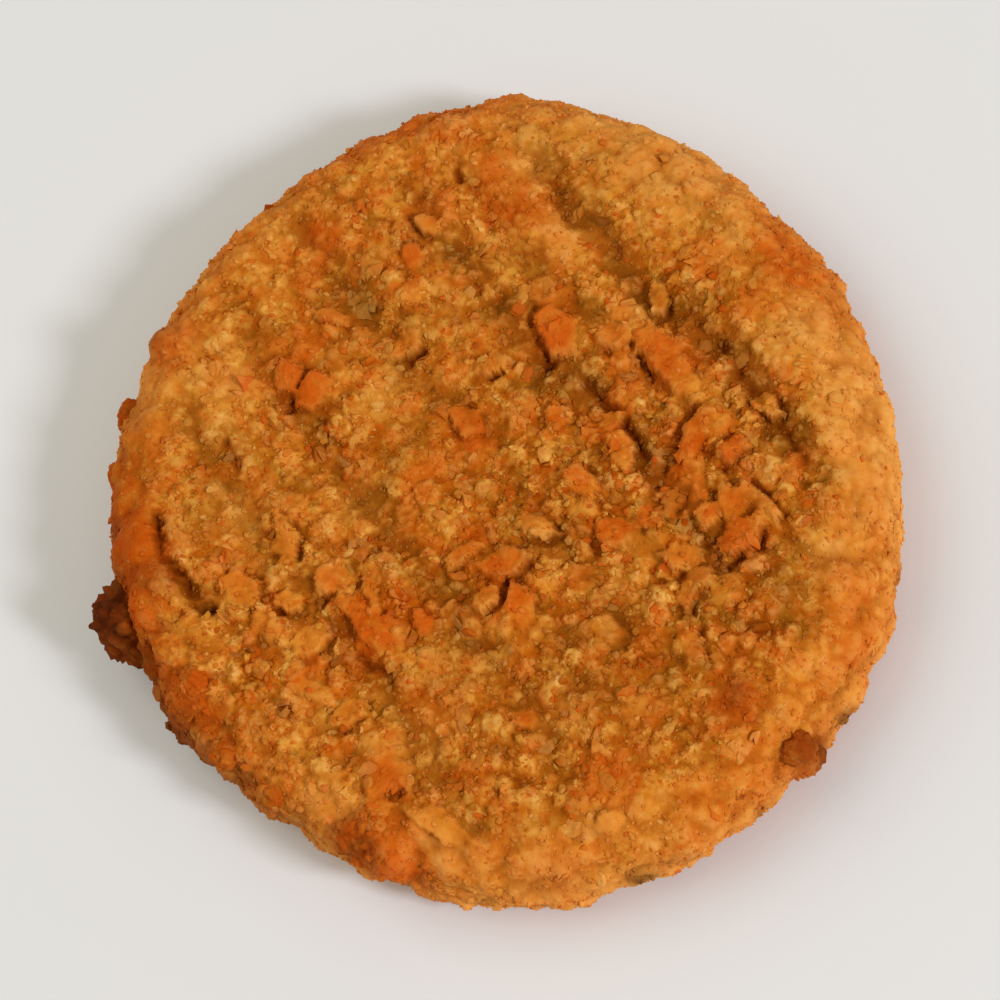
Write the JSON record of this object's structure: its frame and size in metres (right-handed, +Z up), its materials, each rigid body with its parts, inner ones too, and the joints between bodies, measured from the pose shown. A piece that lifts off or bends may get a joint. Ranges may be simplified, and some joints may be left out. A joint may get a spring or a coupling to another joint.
{
  "type": "baked fish patty",
  "caption": "Oval baked fish patty with a browned crumb crust, rounded rim, faint grooves, raised flakes and a burnt knob at one edge, lying on its flat base.",
  "frame": {"origin": "on the flat base, under the middle of the patty's box", "axes": "+X along the patty's length and the grooves of its top, +Y across it, +Z up from the base to the browned top"},
  "size_m": [0.0864, 0.0808, 0.0129],
  "materials": {
    "browned_crust": "dry, granular golden-brown crumb crust, redder on its raised flakes and near black at the burnt knob"
  },
  "bodies": {
    "root": {"patty": "browned_crust"}
  },
  "joints": []
}
